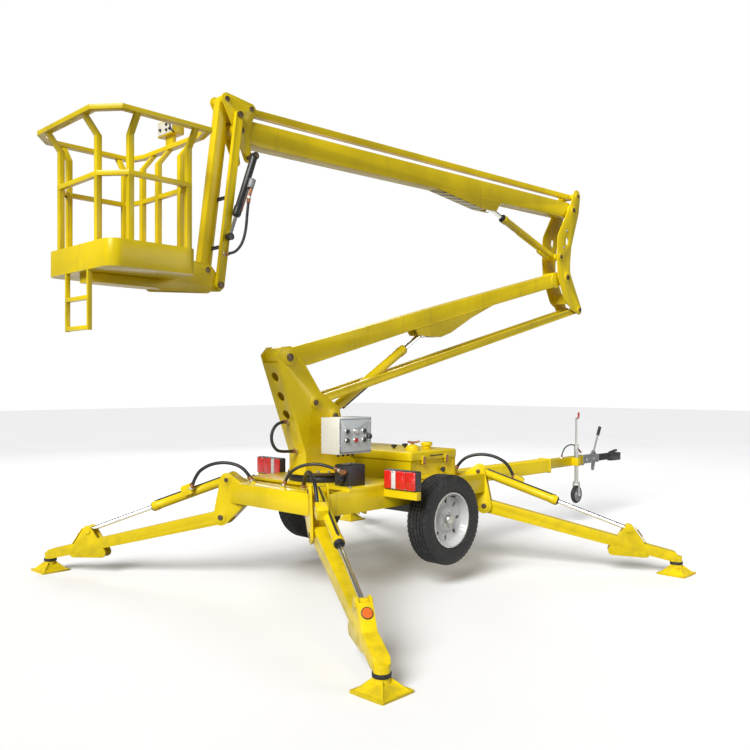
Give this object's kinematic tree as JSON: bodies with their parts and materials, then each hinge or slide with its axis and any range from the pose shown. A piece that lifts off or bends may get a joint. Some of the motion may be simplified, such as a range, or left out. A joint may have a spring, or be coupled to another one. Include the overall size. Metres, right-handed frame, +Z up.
{
  "type": "towable articulated boom lift",
  "caption": "Trailer-mounted articulated boom lift with levelled elbow, hanging jib, basket and outriggers on square pads.",
  "frame": {"origin": "under the middle of the whole machine, on the ground", "axes": "+X forward to the tow coupler, +Y to the machine's left, +Z up"},
  "size_m": [7.1374, 4.12, 3.7879],
  "materials": {
    "yellow_paint": "gloss yellow machine enamel",
    "black_paint": "satin black chassis paint",
    "tyre": "black road tyre",
    "wheel_paint": "white-silver painted pressed steel",
    "chrome": "hard chromed rod",
    "zinc": "zinc plated steel",
    "grey_box": "light grey enclosure paint",
    "red_lens": "red lamp lens",
    "black_plastic": "black moulded plastic",
    "black_hose": "black hydraulic hose",
    "jockey_grey": "grey rubber jockey wheel"
  },
  "bodies": {
    "chassis": {"axle": "black_paint", "cable_drawbar": "black_hose", "chassis_frame": "yellow_paint", "coupler": "zinc", "drawbar": "yellow_paint", "handbrake_lever": "black_plastic", "hose_deck": "black_hose", "hose_leg_front_left": "black_hose", "hose_leg_front_right": "black_hose", "hose_leg_rear_left": "black_hose", "hose_leg_rear_right": "black_hose", "jockey_clamp": "yellow_paint", "lamp_bracket": "yellow_paint", "outrigger_brackets": "yellow_paint", "pack_filler_cap": "black_plastic", "power_pack": "yellow_paint", "slew_ring": "black_paint", "tail_lamps": "red_lens", "valve_box": "black_plastic"},
    "turntable": {"tower": "yellow_paint", "control_box": "grey_box", "control_bracket": "yellow_paint", "hose_tower": "black_hose"},
    "lower_boom": {"lower_boom": "yellow_paint"},
    "lower_tie": {"lower_tie": "yellow_paint"},
    "elbow": {"elbow": "yellow_paint"},
    "lower_cylinder": {"lower_cylinder": "yellow_paint"},
    "lower_rod": {"lower_rod": "chrome"},
    "upper_boom": {"upper_boom": "yellow_paint"},
    "upper_tie": {"upper_tie": "yellow_paint"},
    "upper_cylinder": {"upper_cylinder": "yellow_paint"},
    "upper_rod": {"upper_rod": "chrome"},
    "head_link": {"head_link": "yellow_paint"},
    "jib": {"jib": "yellow_paint", "hose_jib": "black_hose"},
    "jib_tie": {"jib_tie": "yellow_paint"},
    "jib_cylinder": {"jib_cylinder": "black_paint"},
    "jib_rod": {"jib_rod": "chrome"},
    "basket": {"basket_carrier": "yellow_paint", "basket": "yellow_paint", "basket_panel": "black_plastic"},
    "wheel_left": {"tyre_left": "tyre", "wheel_left": "wheel_paint"},
    "wheel_right": {"tyre_right": "tyre", "wheel_right": "wheel_paint"},
    "jockey_tube": {"jockey_tube": "zinc"},
    "jockey_fork": {"jockey_fork": "zinc"},
    "jockey_wheel": {"jockey_wheel": "jockey_grey"},
    "leg_front_left": {"leg_front_left": "yellow_paint"},
    "leg_cylinder_front_left": {"leg_cylinder_front_left": "yellow_paint"},
    "leg_rod_front_left": {"leg_rod_front_left": "chrome"},
    "leg_front_right": {"leg_front_right": "yellow_paint"},
    "leg_cylinder_front_right": {"leg_cylinder_front_right": "yellow_paint"},
    "leg_rod_front_right": {"leg_rod_front_right": "chrome"},
    "leg_rear_left": {"leg_rear_left": "yellow_paint"},
    "leg_cylinder_rear_left": {"leg_cylinder_rear_left": "yellow_paint"},
    "leg_rod_rear_left": {"leg_rod_rear_left": "chrome"},
    "leg_rear_right": {"leg_rear_right": "yellow_paint"},
    "leg_cylinder_rear_right": {"leg_cylinder_rear_right": "yellow_paint"},
    "leg_rod_rear_right": {"leg_rod_rear_right": "chrome"}
  },
  "joints": [
    {"name": "slew", "type": "hinge", "parent": "chassis", "child": "turntable", "pos_m": [-1.39927, 0, 0.9], "axis": [0, 0, 1], "range_deg": [0, 359]},
    {"name": "lower_boom_lift", "type": "hinge", "parent": "turntable", "child": "lower_boom", "pos_m": [-1.85627, 0, 1.782], "axis": [0, -1, 0], "range_deg": [-13.85, 50]},
    {"name": "lower_tie_swing", "type": "hinge", "parent": "turntable", "child": "lower_tie", "pos_m": [-1.59627, 0, 1.437], "axis": [0, -1, 0], "range_deg": [-13.85, 50]},
    {"name": "elbow_level", "type": "hinge", "parent": "lower_boom", "child": "elbow", "pos_m": [2.17113, 0, 2.77495], "axis": [0, -1, 0], "range_deg": [-50, 13.85]},
    {"name": "lower_cylinder_swing", "type": "hinge", "parent": "turntable", "child": "lower_cylinder", "pos_m": [-1.38927, 0, 1.33], "axis": [0, -1, 0], "range_deg": [-13.57, 48.98]},
    {"name": "lower_cylinder_stroke", "type": "slide", "parent": "lower_cylinder", "child": "lower_rod", "axis": [0.8559, 0, 0.5171], "range_m": [-0.14736, 0.53173]},
    {"name": "upper_boom_lift", "type": "hinge", "parent": "elbow", "child": "upper_boom", "pos_m": [2.30113, 0, 3.54495], "axis": [0, 1, 0], "range_deg": [-2, 65]},
    {"name": "upper_tie_swing", "type": "hinge", "parent": "elbow", "child": "upper_tie", "pos_m": [2.38713, 0, 3.71695], "axis": [0, 1, 0], "range_deg": [-2, 65]},
    {"name": "head_level", "type": "hinge", "parent": "upper_boom", "child": "head_link", "pos_m": [-2.27873, 0, 3.40502], "axis": [0, 1, 0], "range_deg": [-65, 2]},
    {"name": "upper_cylinder_swing", "type": "hinge", "parent": "elbow", "child": "upper_cylinder", "pos_m": [2.03113, 0, 2.98995], "axis": [0, 1, 0], "range_deg": [-1.81, 58.45]},
    {"name": "upper_cylinder_stroke", "type": "slide", "parent": "upper_cylinder", "child": "upper_rod", "axis": [-0.9572, 0, 0.2894], "range_m": [-0.02002, 0.64743]},
    {"name": "jib_lift", "type": "hinge", "parent": "head_link", "child": "jib", "pos_m": [-2.31873, 0, 3.50002], "axis": [0, 1, 0], "range_deg": [-5, 75]},
    {"name": "jib_tie_swing", "type": "hinge", "parent": "head_link", "child": "jib_tie", "pos_m": [-2.40373, 0, 3.60002], "axis": [0, 1, 0], "range_deg": [-5, 75]},
    {"name": "basket_level", "type": "hinge", "parent": "jib", "child": "basket", "pos_m": [-2.48373, 0, 2.27002], "axis": [0, 1, 0], "range_deg": [-75, 5]},
    {"name": "jib_cylinder_swing", "type": "hinge", "parent": "head_link", "child": "jib_cylinder", "pos_m": [-2.22373, -0.15, 3.21502], "axis": [0, 1, 0], "range_deg": [-5.53, 82.74]},
    {"name": "jib_cylinder_stroke", "type": "slide", "parent": "jib_cylinder", "child": "jib_rod", "axis": [-0.3334, 0, -0.9428], "range_m": [-0.02191, 0.32722]},
    {"name": "leg_front_left_lift", "type": "hinge", "parent": "chassis", "child": "leg_front_left", "pos_m": [-0.02427, 0.57, 0.52], "axis": [-0.8616, 0.5075, 0], "range_deg": [-80, 0]},
    {"name": "leg_front_left_cylinder_swing", "type": "hinge", "parent": "chassis", "child": "leg_cylinder_front_left", "pos_m": [-0.04965, 0.52692, 0.82], "axis": [-0.8616, 0.5075, 0], "range_deg": [-81.25, 0.01]},
    {"name": "leg_front_left_cylinder_stroke", "type": "slide", "parent": "leg_cylinder_front_left", "child": "leg_rod_front_left", "axis": [0.4768, 0.8094, -0.3429], "range_m": [-0.38323, 0.0001]},
    {"name": "leg_front_right_lift", "type": "hinge", "parent": "chassis", "child": "leg_front_right", "pos_m": [-0.02427, -0.57, 0.52], "axis": [0.8616, 0.5075, 0], "range_deg": [-80, 0]},
    {"name": "leg_front_right_cylinder_swing", "type": "hinge", "parent": "chassis", "child": "leg_cylinder_front_right", "pos_m": [-0.04965, -0.52692, 0.82], "axis": [0.8616, 0.5075, 0], "range_deg": [-81.25, 0.01]},
    {"name": "leg_front_right_cylinder_stroke", "type": "slide", "parent": "leg_cylinder_front_right", "child": "leg_rod_front_right", "axis": [0.4768, -0.8094, -0.3429], "range_m": [-0.38323, 0.0001]},
    {"name": "leg_rear_left_lift", "type": "hinge", "parent": "chassis", "child": "leg_rear_left", "pos_m": [-1.97427, 0.57, 0.52], "axis": [-0.8616, -0.5075, 0], "range_deg": [-80, 0]},
    {"name": "leg_rear_left_cylinder_swing", "type": "hinge", "parent": "chassis", "child": "leg_cylinder_rear_left", "pos_m": [-1.94889, 0.52692, 0.82], "axis": [-0.8616, -0.5075, 0], "range_deg": [-81.25, 0.01]},
    {"name": "leg_rear_left_cylinder_stroke", "type": "slide", "parent": "leg_cylinder_rear_left", "child": "leg_rod_rear_left", "axis": [-0.4768, 0.8094, -0.3429], "range_m": [-0.38323, 0.0001]},
    {"name": "leg_rear_right_lift", "type": "hinge", "parent": "chassis", "child": "leg_rear_right", "pos_m": [-1.97427, -0.57, 0.52], "axis": [0.8616, -0.5075, 0], "range_deg": [-80, 0]},
    {"name": "leg_rear_right_cylinder_swing", "type": "hinge", "parent": "chassis", "child": "leg_cylinder_rear_right", "pos_m": [-1.94889, -0.52692, 0.82], "axis": [0.8616, -0.5075, 0], "range_deg": [-81.25, 0.01]},
    {"name": "leg_rear_right_cylinder_stroke", "type": "slide", "parent": "leg_cylinder_rear_right", "child": "leg_rod_rear_right", "axis": [-0.4768, -0.8094, -0.3429], "range_m": [-0.38323, 0.0001]},
    {"name": "wheel_left_spin", "type": "hinge", "parent": "chassis", "child": "wheel_left", "pos_m": [-0.84927, 0.78, 0.52], "axis": [0, 1, 0], "continuous": true},
    {"name": "wheel_right_spin", "type": "hinge", "parent": "chassis", "child": "wheel_right", "pos_m": [-0.84927, -0.78, 0.52], "axis": [0, 1, 0], "continuous": true},
    {"name": "jockey_height", "type": "slide", "parent": "chassis", "child": "jockey_tube", "axis": [0, 0, 1], "range_m": [-0.22, 0.03]},
    {"name": "jockey_swivel", "type": "hinge", "parent": "jockey_tube", "child": "jockey_fork", "pos_m": [2.38073, -0.092, 0.47], "axis": [0, 0, 1], "continuous": true},
    {"name": "jockey_wheel_spin", "type": "hinge", "parent": "jockey_fork", "child": "jockey_wheel", "pos_m": [2.38073, -0.092, 0.33], "axis": [0, 1, 0], "continuous": true}
  ],
  "couplings": [
    {"joint": "lower_tie_swing", "follows": "lower_boom_lift", "ratio": 1},
    {"joint": "elbow_level", "follows": "lower_boom_lift", "ratio": -1},
    {"joint": "lower_cylinder_swing", "follows": "lower_boom_lift", "ratio": 0.9794},
    {"joint": "lower_cylinder_stroke", "follows": "lower_boom_lift", "m_per_rad": 0.6092},
    {"joint": "upper_tie_swing", "follows": "upper_boom_lift", "ratio": 1},
    {"joint": "head_level", "follows": "upper_boom_lift", "ratio": -1},
    {"joint": "upper_cylinder_swing", "follows": "upper_boom_lift", "ratio": 0.8991},
    {"joint": "upper_cylinder_stroke", "follows": "upper_boom_lift", "m_per_rad": 0.5706},
    {"joint": "jib_tie_swing", "follows": "jib_lift", "ratio": 1},
    {"joint": "basket_level", "follows": "jib_lift", "ratio": -1},
    {"joint": "jib_cylinder_swing", "follows": "jib_lift", "ratio": 1.1031},
    {"joint": "jib_cylinder_stroke", "follows": "jib_lift", "m_per_rad": 0.2499},
    {"joint": "leg_front_left_cylinder_swing", "follows": "leg_front_left_lift", "ratio": 1.0155},
    {"joint": "leg_front_left_cylinder_stroke", "follows": "leg_front_left_lift", "m_per_rad": 0.2744},
    {"joint": "leg_front_right_cylinder_swing", "follows": "leg_front_right_lift", "ratio": 1.0155},
    {"joint": "leg_front_right_cylinder_stroke", "follows": "leg_front_right_lift", "m_per_rad": 0.2744},
    {"joint": "leg_rear_left_cylinder_swing", "follows": "leg_rear_left_lift", "ratio": 1.0155},
    {"joint": "leg_rear_left_cylinder_stroke", "follows": "leg_rear_left_lift", "m_per_rad": 0.2744},
    {"joint": "leg_rear_right_cylinder_swing", "follows": "leg_rear_right_lift", "ratio": 1.0155},
    {"joint": "leg_rear_right_cylinder_stroke", "follows": "leg_rear_right_lift", "m_per_rad": 0.2744}
  ]
}
